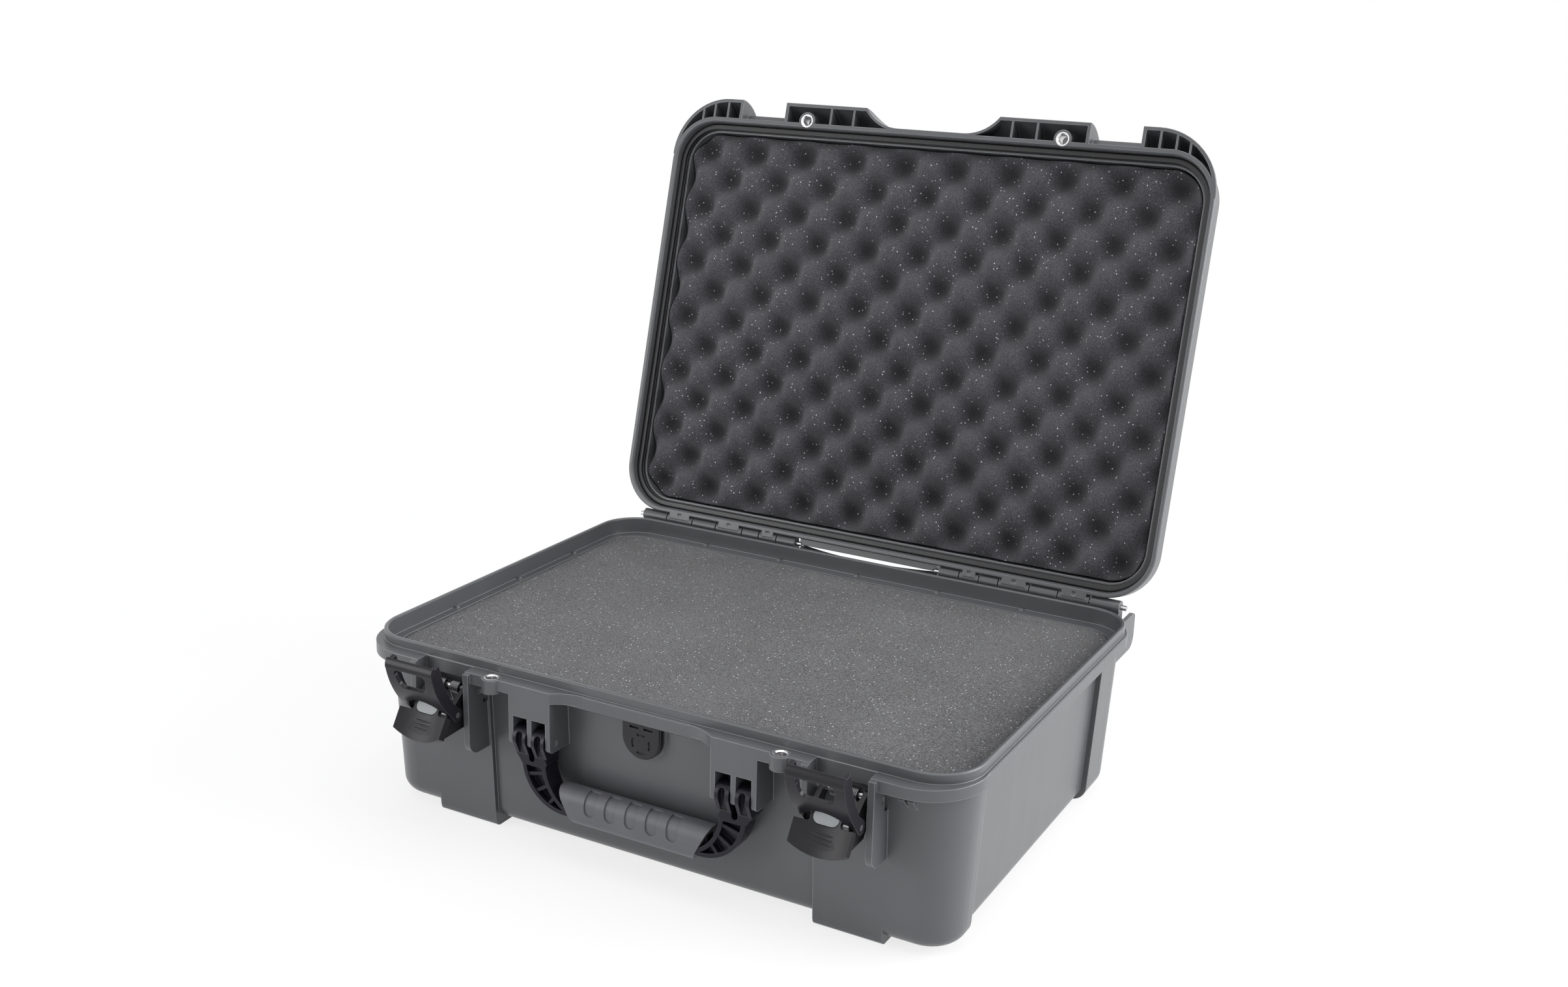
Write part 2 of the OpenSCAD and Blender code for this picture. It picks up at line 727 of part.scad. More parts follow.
module lid_knuckles() {
    for (k = knuckles)
        if (k[2]) {
            a = k[0] + knuckle_gap / 2;
            b = k[1] - knuckle_gap / 2;
            bar(a, b, hinge_y, axis_z, barrel_r);
            side_view(a, b)
                polygon([[hinge_y - barrel_r, axis_z], [hinge_y + barrel_r, axis_z],
                    [hinge_y + barrel_r, shelf_z], [lip_d / 2 + 2, shelf_z + 15], [lip_d / 2 - 4, shelf_z + 15],
                    [lip_d / 2 - 4, shelf_z - 1], [lip_d / 2 + rim_gap + 1, axis_z]]);
            knuckle_pad(a + 2.5, b - 2.5);
        }
}

// Pad between the lid's rim and a barrel, with a round dimple
module knuckle_pad(a, b) {
    difference() {
        side_view(a, b)
            polygon([[lip_d / 2 + rim_gap + 1, lid_low], [hinge_y - 1, lid_low], [hinge_y + 2, axis_z - 2],
                [hinge_y, axis_z], [lip_d / 2 + rim_gap + 1, axis_z + 2]]);
        translate([(a + b) / 2, hinge_y - 4.4, lid_low - 1]) cylinder(h = 1.8, r = 2);
    }
}

// Skirt at the back of the lid between the hinge rows
module rear_skirt() {
    half = row_in - 3.5;
    box(-half, half, lip_d / 2 + rim_gap + 1, hinge_y + 0.3, axis_z - 1.9, shelf_z + 4);
    side_view(-half, half) polygon([[lip_d / 2 - 4, shelf_z], [hinge_y + 0.3, shelf_z + 4],
        [lip_d / 2 + 1, shelf_z + 13], [lip_d / 2 - 4, shelf_z + 13]]);
}

// Catch across each latch bay, which the claw's tooth hooks over
module latch_catch() {
    side_view(guard_in - 1, guard_out + 1)
        polygon([[-claw_y + 12.5, shelf_z], [-claw_y + 7.6, shelf_z], [-claw_y + 7, shelf_z - 0.6],
            [-claw_y + 7, shelf_z - 4], [-claw_y + 12.5, shelf_z - 8]]);
}

module lid_shell() {
    color(shell_grey) open_lid() union() {
        lid_body();
        pair() latch_catch();
    }
}

module lid_body() {
    difference() {
        union() {
            lid_solid();
            difference() {
                lid_hood();
                hood_hollow();
            }
            pair() lid_knuckles();
            rear_skirt();
            lid_panel();
        }
        lid_space();
        pair() {
            // Open bay over each latch, level with the shelf
            box(guard_in, guard_out, -hood_y - 1, -lip_d / 2 - rim_gap - rim_t, flange_top - 1, lid_top);
            box(guard_in, guard_out, -hood_y - 1, -lip_cy - lid_wall_top, shelf_z, lid_top);
            // Eye for the padlock
            translate([eye_x, -eye_y, flange_top - 1]) cylinder(h = 12.6, r = bush_r + held_fit);
            translate([eye_x, -eye_y, flange_top - 1]) cylinder(h = 60, r = eye_r + 0.4);
            bar(row_in - 5.5, row_out + 4.6, hinge_y, axis_z, hinge_pin_r + run_fit);
            for (k = knuckles)
                if (!k[2]) bar(k[0] - knuckle_gap / 2, k[1] + knuckle_gap / 2, hinge_y, axis_z, barrel_r + 0.6);
        }
    }
}

// Low raised panel on the lid that sits between the skids of a case stacked above
module lid_panel() {
    hx = foot_outer - skid_w - 2;
    hy = drafted(wall_y, 0) - 30 - skid_w - 2;
    translate([0, 0, lid_top - 1]) {
        linear_extrude(foot_h - 0.5) {
            square([2 * hx - 20, 2 * hy], center = true);
            square([2 * hx, 2 * hy - 20], center = true);
            for (sx = [-1, 1], sy = [-1, 1]) translate([sx * (hx - 10), sy * (hy - 10)]) circle(10);
        }
    }
}

module lid_gasket() {
    color([0.08, 0.08, 0.08]) open_lid() difference() {
        union() {
            swept(lip_cx, lip_cy)
                polygon([[inner_lip + 0.3, groove_z - 0.2], [inner_lip + 0.3, groove_z - 3], [lip_r - lip_t + 0.2, groove_z - 3],
                    [lip_r - lip_t + 0.2, base_h + seat], [lip_r + 0.6, base_h + seat], [lip_r + 0.6, groove_z - 3],
                    [rim_in - 0.3, groove_z - 3], [rim_in - 0.3, groove_z - 0.2]]);
        }
    }
}

module lid_padlock_bushes() {
    color(steel) open_lid() pair()
        translate([0, 0, lid_low + flange_top + 11]) mirror([0, 0, 1]) eye_bush(flange_top, flange_top + 11);
}

// ---- egg-crate foam in the lid ----

crate_nx = 36;
crate_ny = 26;
crate_x = lip_cx + lid_wall_top - lid_skin - 1.4;
crate_y = lip_cy + lid_wall_top - lid_skin - 1.4;
crate_back = lid_top - lid_skin - 0.1;

// Height of the sculpted face at a point: staggered round bumps that fade out at the very edge
function crate(x, y) =
    lid_top - lid_skin - crate_mid - crate_amp * cos(360 * x / crate_pitch) * cos(360 * y / (crate_pitch * 1.04));

// A rounded rectangle's own grid: a square grid point pulled in at the corners
crate_r = crate_x - lip_cx;
crate_in = 10.5;
function crate_point(u, v, inset) =
    let (hx = crate_x - inset, hy = crate_y - inset, r = crate_r, x = u * hx, y = v * hy,
        dx = max(0, abs(x) - hx + r), dy = max(0, abs(y) - hy + r), d = sqrt(dx * dx + dy * dy),
        m = max(dx, dy), k = (d > 0 && dx > 0 && dy > 0) ? m / d : 1)
    [sign(x) * (abs(x) - dx + dx * k), sign(y) * (abs(y) - dy + dy * k)];

module lid_foam() {
    n = crate_nx + 1;
    m = crate_ny + 1;
    face = [for (j = [0:crate_ny], i = [0:crate_nx])
        let (p = crate_point(2 * i / crate_nx - 1, 2 * j / crate_ny - 1, 0)) [p[0], p[1], crate(p[0], p[1])]];
    rim = concat([for (i = [0:crate_nx]) i], [for (j = [1:crate_ny]) j * n + crate_nx],
        [for (i = [crate_nx - 1:-1:0]) crate_ny * n + i], [for (j = [crate_ny - 1:-1:1]) j * n]);
    edge = [for (k = rim) [face[k][0], face[k][1], crate_back - top_r + lid_skin]];
    back = [for (k = rim)
        let (p = crate_point(2 * (k % n) / crate_nx - 1, 2 * floor(k / n) / crate_ny - 1, crate_in))
        [p[0], p[1], crate_back]];
    tris = [for (j = [0:crate_ny - 1], i = [0:crate_nx - 1], h = [0, 1])
        let (a = j * n + i, b = a + 1, c = a + n + 1, d = a + n)
        h == 0 ? [a, b, c] : [a, c, d]];
    count = len(rim);
    top = n * m;
    sides = [for (k = [0:count - 1], h = [0, 1])
        let (a = rim[k], b = rim[(k + 1) % count], c = top + (k + 1) % count, d = top + k)
        h == 0 ? [a, c, b] : [a, d, c]];
    slants = [for (k = [0:count - 1], h = [0, 1])
        let (a = top + k, b = top + (k + 1) % count, c = b + count, d = a + count)
        h == 0 ? [a, c, b] : [a, d, c]];
    last = top + count;
    cap = [for (k = [1:count - 2]) [last, last + k + 1, last + k]];
    color(foam_grey) open_lid()
        polyhedron(points = concat(face, edge, back), faces = concat(tris, sides, slants, cap), convexity = 8);
}

// ---- handle ----

arm_z = handle_z - 11;
arm_t = 7;
grip_z = handle_z - grip_drop + 1;
grip_y = handle_y - 5;
arm_y = handle_y - 3;
bar_low = grip_z - 5;
bar_top = grip_z + 6;

// Outline of the grip seen from the front, longer at the top, grown by g
module grip_outline(g) {
    translate([0, -grip_y + 20, 0]) rotate([90, 0, 0]) linear_extrude(40)
        polygon([[-grip_len / 2 - g - 10, grip_z + grip_h / 2 + 21], [grip_len / 2 + g + 10, grip_z + grip_h / 2 + 21],
            [grip_len / 2 - 20 + g, grip_z - grip_h / 2 - 13], [20 - grip_len / 2 - g, grip_z - grip_h / 2 - 13]]);
}

// Rounded bar along X, drawn in by g
module grip_bar(g) {
    hy = grip_t / 2 - g;
    hz = grip_h / 2 - g;
    r = 8.5 - g;
    translate([-grip_len / 2 - 4, -grip_y, grip_z]) rotate([90, 0, 90]) linear_extrude(grip_len + 8) {
        square([2 * hy - 2 * r, 2 * hz], center = true);
        square([2 * hy, 2 * hz - 2 * r], center = true);
        for (sy = [-1, 1], sz = [-1, 1]) translate([sy * (hy - r), sz * (hz - r)]) circle(r);
    }
}

module handle_grip() {
    finger = 4.2;
    color([0.42, 0.45, 0.47]) difference() {
        intersection() {
            grip_bar(0);
            grip_outline(0);
        }
        // Finger flutes sunk into the upper half of the front face
        difference() {
            for (i = [-2:2]) translate([i * grip_len / 7.4, -grip_y, grip_z + 2]) rotate([90, 0, 0]) {
                cylinder(h = 20, r = finger);
                translate([-finger, 0, 0]) cube([2 * finger, 20, 20]);
            }
            grip_bar(0.9);
        }
        box(-grip_len, grip_len, -grip_y - 4.3, -grip_y + 4.3, bar_low - 0.3, bar_top + 0.3);
    }
}

// Crescent of an arm seen from the front, drawn in by g
module arm_outline(g) {
    intersection() {
        difference() {
            translate([bracket_in - 9, handle_z - 15.5]) circle(34 - g);
            translate([bracket_in - 27, handle_z - 16]) circle(32.7 + g);
        }
        translate([0, handle_z - 60]) square([200, 60 - 11 - g]);
    }
}

module handle_arm() {
    x0 = bracket_slots[0][0] + slot_gap;
    x1 = bracket_slots[1][1] - slot_gap;
    split = (bracket_slots[0][1] + bracket_slots[1][0]) / 2;
    difference() {
        translate([0, -arm_y, 0]) rotate([90, 0, 0]) {
            translate([0, 0, -arm_t]) linear_extrude(2 * arm_t) difference() {
                arm_outline(0);
                arm_outline(2.8);
            }
            translate([0, 0, -1.6]) linear_extrude(3.2) arm_outline(0);
            translate([0, 0, 1 - arm_t]) linear_extrude(2 * arm_t - 2) intersection() {
                arm_outline(1);
                for (a = [-14, -32, -50]) translate([bracket_in - 20, handle_z - 16]) rotate(a)
                    translate([10, -1.1]) square([60, 2.2]);
            }
            // Yoke that spreads from the arm to the two prongs
            translate([0, 0, -arm_t]) linear_extrude(2 * arm_t)
                polygon([[x0, arm_z], [x0, arm_z - 4], [x0 + 2, arm_z - 8], [x1 - 5, arm_z - 8], [x1, arm_z - 1], [x1, arm_z]]);
        }
        grip_outline(0.3);
        // Round bottom of the gap between the prongs
        translate([split, -arm_y + 20, arm_z - 3]) rotate([90, 0, 0]) cylinder(h = 40, r = bracket_wall / 2 + slot_gap);
        box(split - bracket_wall / 2 - slot_gap, split + bracket_wall / 2 + slot_gap, -arm_y - 20, -arm_y + 20,
            arm_z - 3, arm_z + 1);
    }
    for (slot = bracket_slots)
        difference() {
            side_view(slot[0] + slot_gap, slot[1] - slot_gap) {
                translate([-handle_y, handle_z]) circle(8.4);
                polygon([[-handle_y - 8.2, handle_z - 2], [-handle_y + 8.2, handle_z - 2],
                    [-arm_y + arm_t, arm_z - 1], [-arm_y - arm_t, arm_z - 1]]);
            }
            // The front of each prong is hollowed, so that it reads as a hook
            translate([(slot[0] + slot[1]) / 2, -handle_y - 3.6, 0]) rotate([90, 0, 0]) linear_extrude(10) {
                translate([0, handle_z + 3]) circle(2.6);
                translate([-2.6, arm_z]) square([5.2, handle_z + 3 - arm_z]);
            }
        }
}

module handle_frame() {
    color(latch_grey) difference() {
        union() {
            pair() {
                handle_arm();
                for (slot = bracket_slots)
                    bar(slot[0] + slot_gap, slot[1] - slot_gap, -handle_y, handle_z, handle_pin_r + 1.9);
            }
            box(6 - bracket_in, bracket_in - 6, -grip_y - 4, -grip_y + 4, bar_low, bar_top);
        }
        pair() bar(bracket_in, bracket_in + bracket_w + 1, -handle_y, handle_z, handle_pin_r + run_fit);
    }
}

module handle_pin() {
    color(steel) bar(bracket_in + 0.4, bracket_in + bracket_w - 1.6, -handle_y, handle_z, handle_pin_r);
}

module handle_pin_right() {
    handle_pin();
}

module handle_pin_left() {
    mirror([1, 0, 0]) handle_pin();
}

// ---- latches, drawn on the right ----

lever_w = latch_w / 2 - cheek_t - seat - 0.2;

// A flat link with round ends between two points of a side view
module link(y0, z0, y1, z1, r) {
    n = [z1 - z0, y0 - y1] * r / norm([y1 - y0, z1 - z0]);
    translate([y0, z0]) circle(r);
    translate([y1, z1]) circle(r);
    polygon([[y0, z0] + n, [y1, z1] + n, [y1, z1] - n, [y0, z0] - n]);
}

// Frame of the button: its own -Y points out of the lever's face
module at_button() {
    translate([latch_x, -claw_y - 7.4, claw_z + 4.5]) rotate([-32, 0, 0]) children();
}

// Oval bar of the button's section along its travel
module oval(r, half, y0, y1) {
    translate([0, y1, 0]) rotate([90, 0, 0]) linear_extrude(y1 - y0) {
        square([2 * half, 2 * r], center = true);
        for (s = [-1, 1]) translate([s * half, 0]) circle(r);
    }
}

// Flared tab below the button, dished across, with a collar round the button
module lever_tab() {
    half = latch_w / 2;
    at_button() difference() {
        translate([0, 2.4, 0]) rotate([90, 0, 0]) linear_extrude(9) intersection() {
            union() {
                circle(10.6);
                polygon([[-9.6, -1], [9.6, -1], [11.5, -4.2], [half, -4.2], [half, -25], [-half, -25],
                    [-half, -4.2], [-11.5, -4.2]]);
            }
            translate([0, 18]) circle(42.5, $fn = 160);
        }
        translate([0, -50, -60]) cylinder(h = 120, r = 50, $fn = 160);
    }
    // Grip ribs across the tab
    at_button() for (i = [0:2]) bar(-9 + i, 9 - i, 0.2, -10.5 - i * 2.8, 0.8);
}

module lever() {
    difference() {
        union() {
            // Cheeks from the pivot pin past the claw's pin to the tab
            for (x = [latch_x - lever_w, latch_x + lever_w - cheek_t])
                side_view(x, x + cheek_t) {
                    link(-pivot_y, pivot_z, -claw_y, claw_z, 4.2);
                    translate([-claw_y, claw_z])
                        polygon([[-3.6, -2], [-9, 0], [-16.6, -12.1], [-15, -14.5], [11, -13.5], [14.5, -9],
                            [14, 2], [17, 8], [4, 3]]);
                }
            lever_tab();
        }
        at_button() oval(4.95, 4.2, -4, 8);
        for (p = [[-pivot_y, pivot_z, run_fit], [-claw_y, claw_z, held_fit]])
            bar(latch_x - 20, latch_x + 20, p[0], p[1], latch_pin_r + p[2]);
    }
}

// Side view of the claw's face: a bowed plate with a round shoulder and a hooked tooth
module claw_face() {
    t = claw_reach;
    difference() {
        union() {
            intersection() {
                translate([59.5, 23.5]) circle(67.3, $fn = 256);
                translate([-20, 3.4]) square([22, t - 6.8]);
            }
            intersection() {
                translate([1.7, t - 3.5]) circle(6.5);
                translate([-20, t - 3.5]) square([21.7, 20]);
            }
            translate([1.6, t]) square([9.9, 3]);
        }
        translate([59.5, 23.5]) circle(64.33, $fn = 256);
        translate([1.7, t - 3.5]) circle(3.5);
        translate([1.7, t - 8]) square([20, 8]);
    }
}

// Claw, drawn upright about its pin at the origin of a side view, then leaned out
module claw() {
    half = latch_w / 2;
    t = claw_reach;
    translate([latch_x, -claw_y, claw_z]) rotate([claw_lean, 0, 0]) difference() {
        union() {
            // Lobes that carry the pin
            for (x = [-half, half - cheek_t])
                side_view(x, x + cheek_t) {
                    circle(4.8);
                    polygon([[-4.6, -1.4], [4.8, 0], [3.4, 5], [1.4, 10], [1.2, 23], [3, t - 11], [5, t - 3.5], [5.6, t + 0.2], [1, t + 1],
                        [-2.6, t - 3], [-4.6, t - 6], [-6.6, 36], [-7.4, 24], [-6.4, 10]]);
                }
            side_view(-half, half) claw_face();
        }
        // Concave lower edge round the button
        translate([0, 20, 1.8]) rotate([90, 0, 0]) cylinder(h = 40, r = half - cheek_t - 0.2);
        box(0.2 + cheek_t - half, half - cheek_t - 0.2, -20, 20, -12, 1.8);
        // Window through the face
        translate([0, 0, 28.75 + window_h / 2]) rotate([90, 0, 0]) linear_extrude(30) {
            for (sx = [-1, 1]) {
                translate([sx * (window_w / 2 - 4), window_h / 2 - 4]) circle(4);
                translate([sx * (window_w / 2 - 7), 5.5 - window_h / 2]) circle(5.5);
            }
            square([window_w - 14, window_h], center = true);
            polygon([[-window_w / 2, window_h / 2 - 4], [window_w / 2, window_h / 2 - 4],
                [window_w / 2 - 1.5, 5 - window_h / 2], [1.5 - window_w / 2, 5 - window_h / 2]]);
        }
        bar(-30, 30, 0, 0, latch_pin_r + run_fit);
    }
}

module lock_button() {
    at_button() {
        oval(4.6, 4.2, -0.9, 3.4);
        oval(5.9, 4.2, 2.75, 3.8);
    }
}

module pivot_pin() {
    bar(guard_in - guard_t + 0.3, guard_out + guard_t - 0.3, -pivot_y, pivot_z, latch_pin_r);
}

module claw_pin() {
    bar(latch_x - latch_w / 2 + 0.3, latch_x + latch_w / 2 - 0.3, -claw_y, claw_z, latch_pin_r);
}

module latch_lever_right() {
    color(latch_grey) lever();
}

module latch_lever_left() {
    mirror([1, 0, 0]) color(latch_grey) lever();
}

module latch_claw_right() {
    color(latch_grey) claw();
}

module latch_claw_left() {
    mirror([1, 0, 0]) color(latch_grey) claw();
}

module lock_button_right() {
    color([0.6, 0.61, 0.62]) lock_button();
}

module lock_button_left() {
    mirror([1, 0, 0]) color([0.6, 0.61, 0.62]) lock_button();
}

module latch_pivot_pin_right() {
    color(steel) pivot_pin();
}

module latch_pivot_pin_left() {
    mirror([1, 0, 0]) color(steel) pivot_pin();
}

module latch_claw_pin_right() {
    color(steel) claw_pin();
}

module latch_claw_pin_left() {
    mirror([1, 0, 0]) color(steel) claw_pin();
}

base_shell();
base_foam_pad();
base_foam_lower();
base_foam_upper();
base_padlock_bushes();
valve_cover();
valve_core();
valve_membrane();
valve_gasket();
hinge_pin_left();
hinge_pin_right();
lid_shell();
lid_gasket();
lid_foam();
lid_padlock_bushes();
handle_frame();
handle_grip();
handle_pin_left();
handle_pin_right();
latch_lever_left();
latch_claw_left();
lock_button_left();
latch_pivot_pin_left();
latch_claw_pin_left();
latch_lever_right();
latch_claw_right();
lock_button_right();
latch_pivot_pin_right();
latch_claw_pin_right();
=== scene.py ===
import bpy
import json
import math
import numpy as np
from mathutils import Matrix, Vector


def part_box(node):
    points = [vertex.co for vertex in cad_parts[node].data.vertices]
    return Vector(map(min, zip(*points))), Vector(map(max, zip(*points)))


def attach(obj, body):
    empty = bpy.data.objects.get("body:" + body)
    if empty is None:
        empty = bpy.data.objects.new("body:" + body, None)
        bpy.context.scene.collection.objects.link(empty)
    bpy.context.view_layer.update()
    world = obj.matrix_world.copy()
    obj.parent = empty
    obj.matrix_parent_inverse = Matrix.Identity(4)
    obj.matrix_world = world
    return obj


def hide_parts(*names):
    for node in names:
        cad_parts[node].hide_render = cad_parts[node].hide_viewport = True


# Waterproof carry case, open, with egg-crate lid foam. Metres, +Z up, front towards -Y.

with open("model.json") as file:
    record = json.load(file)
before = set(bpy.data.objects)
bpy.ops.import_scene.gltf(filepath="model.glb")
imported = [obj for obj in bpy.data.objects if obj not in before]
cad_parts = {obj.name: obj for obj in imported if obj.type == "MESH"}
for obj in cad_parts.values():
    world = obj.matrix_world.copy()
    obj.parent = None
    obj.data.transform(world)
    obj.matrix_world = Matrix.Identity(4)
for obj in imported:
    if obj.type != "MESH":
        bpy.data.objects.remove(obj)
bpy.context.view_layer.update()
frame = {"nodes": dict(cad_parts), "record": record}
nodes = frame["nodes"]
scene = bpy.context.scene

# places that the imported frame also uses
lidHinge = {"y": 0.177, "z": 0.133, "openAngle": 104.85}
latch = {
    "x": 0.15475,
    "pivotY": -0.167, "pivotZ": 0.109,
    "buttonY": -0.1914, "buttonZ": 0.1015, "buttonTilt": -32,
}


cameraSetup = {
    "place": (0.5708, -1.0303, 0.5899),
    "azimuth": 28.302,  # degrees, 0 looks along +Y
    "elevation": 16.853,
    "roll": 1.558,
    "lens": 39.27,  # mm
    "sensor": 36,
    "near": 0.05,
    "far": 20,
}


def makeCamera(setup):
    a, e, r = (math.radians(setup[k]) for k in ("azimuth", "elevation", "roll"))
    back = Vector((math.sin(a) * math.cos(e), -math.cos(a) * math.cos(e), math.sin(e)))
    right = (-back).cross(Vector((0, 0, 1))).normalized()
    up = right.cross(-back)
    rolledRight = right * math.cos(r) + up * math.sin(r)
    rolledUp = up * math.cos(r) - right * math.sin(r)
    data = bpy.data.cameras.new("photoCamera")
    data.lens, data.sensor_width = setup["lens"], setup["sensor"]
    data.clip_start, data.clip_end = setup["near"], setup["far"]
    camera = bpy.data.objects.new("photoCamera", data)
    turn = Matrix((rolledRight, rolledUp, back)).transposed()
    camera.matrix_world = Matrix.Translation(setup["place"]) @ turn.to_4x4()
    scene.collection.objects.link(camera)
    scene.camera = camera
    print("camera made")


class Term:  # a value, colour, vector or shape on its way through a node tree
    def __init__(self, graph, socket):
        self.graph, self.socket = graph, socket

    def maths(self, operation, *others):
        return self.graph.add("ShaderNodeMath", {"operation": operation}, self, *others)

    def __add__(self, other): return self.maths("ADD", other)
    def __radd__(self, other): return self.maths("ADD", other)
    def __sub__(self, other): return self.maths("SUBTRACT", other)
    def __rsub__(self, other): return (self * -1).maths("ADD", other)
    def __mul__(self, other): return self.maths("MULTIPLY", other)
    def __rmul__(self, other): return self.maths("MULTIPLY", other)
    def __truediv__(self, other): return self.maths("DIVIDE", other)
    def __pow__(self, other): return self.maths("POWER", other)

    def between(self, low, high):  # 0 below low, 1 above high, smooth between
        smooth = {"interpolation_type": "SMOOTHSTEP"}
        return self.graph.add("ShaderNodeMapRange", smooth, self, low, high, 0, 1)


class Graph:  # what materials and Geometry Nodes share
    def plug(self, socket, value):
        if isinstance(value, Term):
            self.tree.links.new(value.socket, socket)
        elif value is not None:
            default = socket.default_value
            if hasattr(default, "__len__") and not hasattr(value, "__len__"):
                value = (value,) * len(default)
            elif hasattr(default, "__len__") and len(default) == 4 and len(value) == 3:
                value = (*value, 1)  # a colour without its alpha
            socket.default_value = value

    def add(self, kind, settings=None, *values, out=0, **named):
        node = self.tree.nodes.new(kind)
        for key, value in (settings or {}).items():
            setattr(node, key, value)
        for socket, value in zip(node.inputs, values):
            self.plug(socket, value)
        for key, value in named.items():
            self.plug(node.inputs[key.replace("_", " ")], value)
        return Term(self, node.outputs[out]) if node.outputs else None


class Finish(Graph):  # one node material
    def __init__(self, name):
        self.material = bpy.data.materials.new(name)
        self.material.use_nodes = True
        self.tree = self.material.node_tree
        self.tree.nodes.clear()
        self.place = self.add("ShaderNodeTexCoord", {}, out="Object")

    def noise(self, scale, detail, rough, where=None):
        return self.add("ShaderNodeTexNoise", {}, Vector=where or self.place, Scale=scale,
                        Detail=detail, Roughness=rough)

    def cells(self, scale, out="Distance"):
        return self.add("ShaderNodeTexVoronoi", {}, Vector=self.place, Scale=scale, out=out)

    def mix(self, share, first, second):
        node = self.tree.nodes.new("ShaderNodeMix")
        node.data_type = "RGBA"
        for index, value in ((0, share), (6, first), (7, second)):  # the colour sockets' places
            self.plug(node.inputs[index], value)
        return Term(self, node.outputs[2])

    def stretch(self, *scale):
        return self.add("ShaderNodeMapping", {}, self.place, None, None, scale)

    def bump(self, height, distance, strength, below=None):
        return self.add("ShaderNodeBump", {}, Height=height, Distance=distance,
                        Strength=strength, Normal=below)

    def softEdge(self, radius):  # the normal of an edge broken by that radius
        return self.add("ShaderNodeBevel", {"samples": 6}, radius)

    def edges(self, radius):  # 1 on sharp edges, 0 on open faces
        flat = self.add("ShaderNodeNewGeometry", {}, out="True Normal")
        turned = self.add("ShaderNodeVectorMath", {"operation": "DOT_PRODUCT"},
                          self.softEdge(radius), flat, out="Value")
        return (1 - turned).between(0.03, 0.2)

    def surface(self, **values):
        shader = self.add("ShaderNodeBsdfPrincipled", {}, **values)
        self.add("ShaderNodeOutputMaterial", {}, shader)
        return self.material


class Maker(Graph):  # one Geometry Nodes tree with named sizes
    def __init__(self, name, sizes):
        self.name, self.sizes = name, sizes
        self.tree = bpy.data.node_groups.new(name, "GeometryNodeTree")
        ports = self.tree.interface
        ports.new_socket("Geometry", in_out="INPUT", socket_type="NodeSocketGeometry")
        for label, value in sizes.items():
            kind = "NodeSocketInt" if isinstance(value, int) else "NodeSocketFloat"
            ports.new_socket(label, in_out="INPUT", socket_type=kind)
        ports.new_socket("Geometry", in_out="OUTPUT", socket_type="NodeSocketGeometry")
        self.entry = self.tree.nodes.new("NodeGroupInput")
        self.shape = Term(self, self.entry.outputs["Geometry"])

    def size(self, label):
        return Term(self, self.entry.outputs[label])

    def spot(self, *axes):  # where each point stands
        place = self.add("GeometryNodeInputPosition")
        return (self.add("ShaderNodeSeparateXYZ", {}, place, out=k) for k in axes)

    def vector(self, *values):
        return self.add("ShaderNodeCombineXYZ", {}, *values)

    def close(self, shape, finish):
        whole = self.add("GeometryNodeRealizeInstances", {}, shape)
        dressed = self.add("GeometryNodeSetMaterial", {}, whole, Material=finishes[finish])
        out = self.tree.nodes.new("NodeGroupOutput")
        self.plug(out.inputs["Geometry"], dressed)

    def run(self, mesh):  # the result as a plain mesh
        holder = bpy.data.objects.new(self.name, mesh)
        scene.collection.objects.link(holder)
        modifier = holder.modifiers.new(self.name, "NODES")
        modifier.node_group = self.tree
        for port in self.tree.interface.items_tree:
            if port.in_out == "INPUT" and port.name in self.sizes:
                modifier[port.identifier] = self.sizes[port.name]
        seen = bpy.context.evaluated_depsgraph_get()
        result = bpy.data.meshes.new_from_object(
            holder.evaluated_get(seen), preserve_all_data_layers=True, depsgraph=seen)
        holder.modifiers.clear()
        bpy.data.objects.remove(holder)
        return result


# Grain scales are counts per metre, depths and widths are metres.

shellLook = {
    "tone": (0.074, 0.076, 0.081), "pale": (0.092, 0.094, 0.099), "edgeHighlight": (0.38, 0.39, 0.4),
    "roughness": 0.33, "cloudScale": 7, "flowScale": 60, "flowStretch": (1, 1, 0.1),
    "grainScale": 1400, "grainDepth": 0.00008, "highlightWidth": 0.0011, "edgeRound": 0.0009,
}


def mouldedShell(look):
    f = Finish("mouldedShell")
    cloudy = f.noise(look["cloudScale"], 4, 0.6)
    flow = f.noise(look["flowScale"], 4, 0.6, where=f.stretch(*look["flowStretch"]))
    grain = f.cells(look["grainScale"])
    paleShare = cloudy.between(0.3, 0.75) * 0.6 + flow.between(0.5, 0.8) * 0.2
    colour = f.mix(paleShare, look["tone"], look["pale"])
    # painted highlight: a paler colour on sharp edges, where the rounded edges catch the light
    colour = f.mix(f.edges(look["highlightWidth"]) * (0.4 + flow * 0.4), colour, look["edgeHighlight"])
    rough = look["roughness"] + (cloudy - 0.5) * 0.1 + (flow - 0.5) * 0.1
    normal = f.bump(grain, look["grainDepth"], 0.3, f.softEdge(look["edgeRound"]))
    return f.surface(Base_Color=colour, Roughness=rough, Normal=normal)


mouldingGrain = {
    "cloudScale": 25, "grainScale": 1800, "grainDepth": 0.00006, "edgeRound": 0.0006,
    "specular": 0.24,
}


def darkMoulding(name, tone, pale, edgeHighlight, roughness):
    look = mouldingGrain
    f = Finish(name)
    cloudy = f.noise(look["cloudScale"], 4, 0.6)
    grain = f.cells(look["grainScale"])
    colour = f.mix(cloudy.between(0.35, 0.8) * 0.6, tone, pale)
    # painted highlight: a paler colour on sharp edges, where the rounded edges catch the light
    colour = f.mix(f.edges(look["edgeRound"]) * (0.3 + cloudy * 0.5), colour, edgeHighlight)
    normal = f.bump(grain, look["grainDepth"], 0.3, f.softEdge(look["edgeRound"]))
    return f.surface(Base_Color=colour, Roughness=roughness + (cloudy - 0.5) * 0.12,
                     Specular_IOR_Level=look["specular"], Normal=normal)


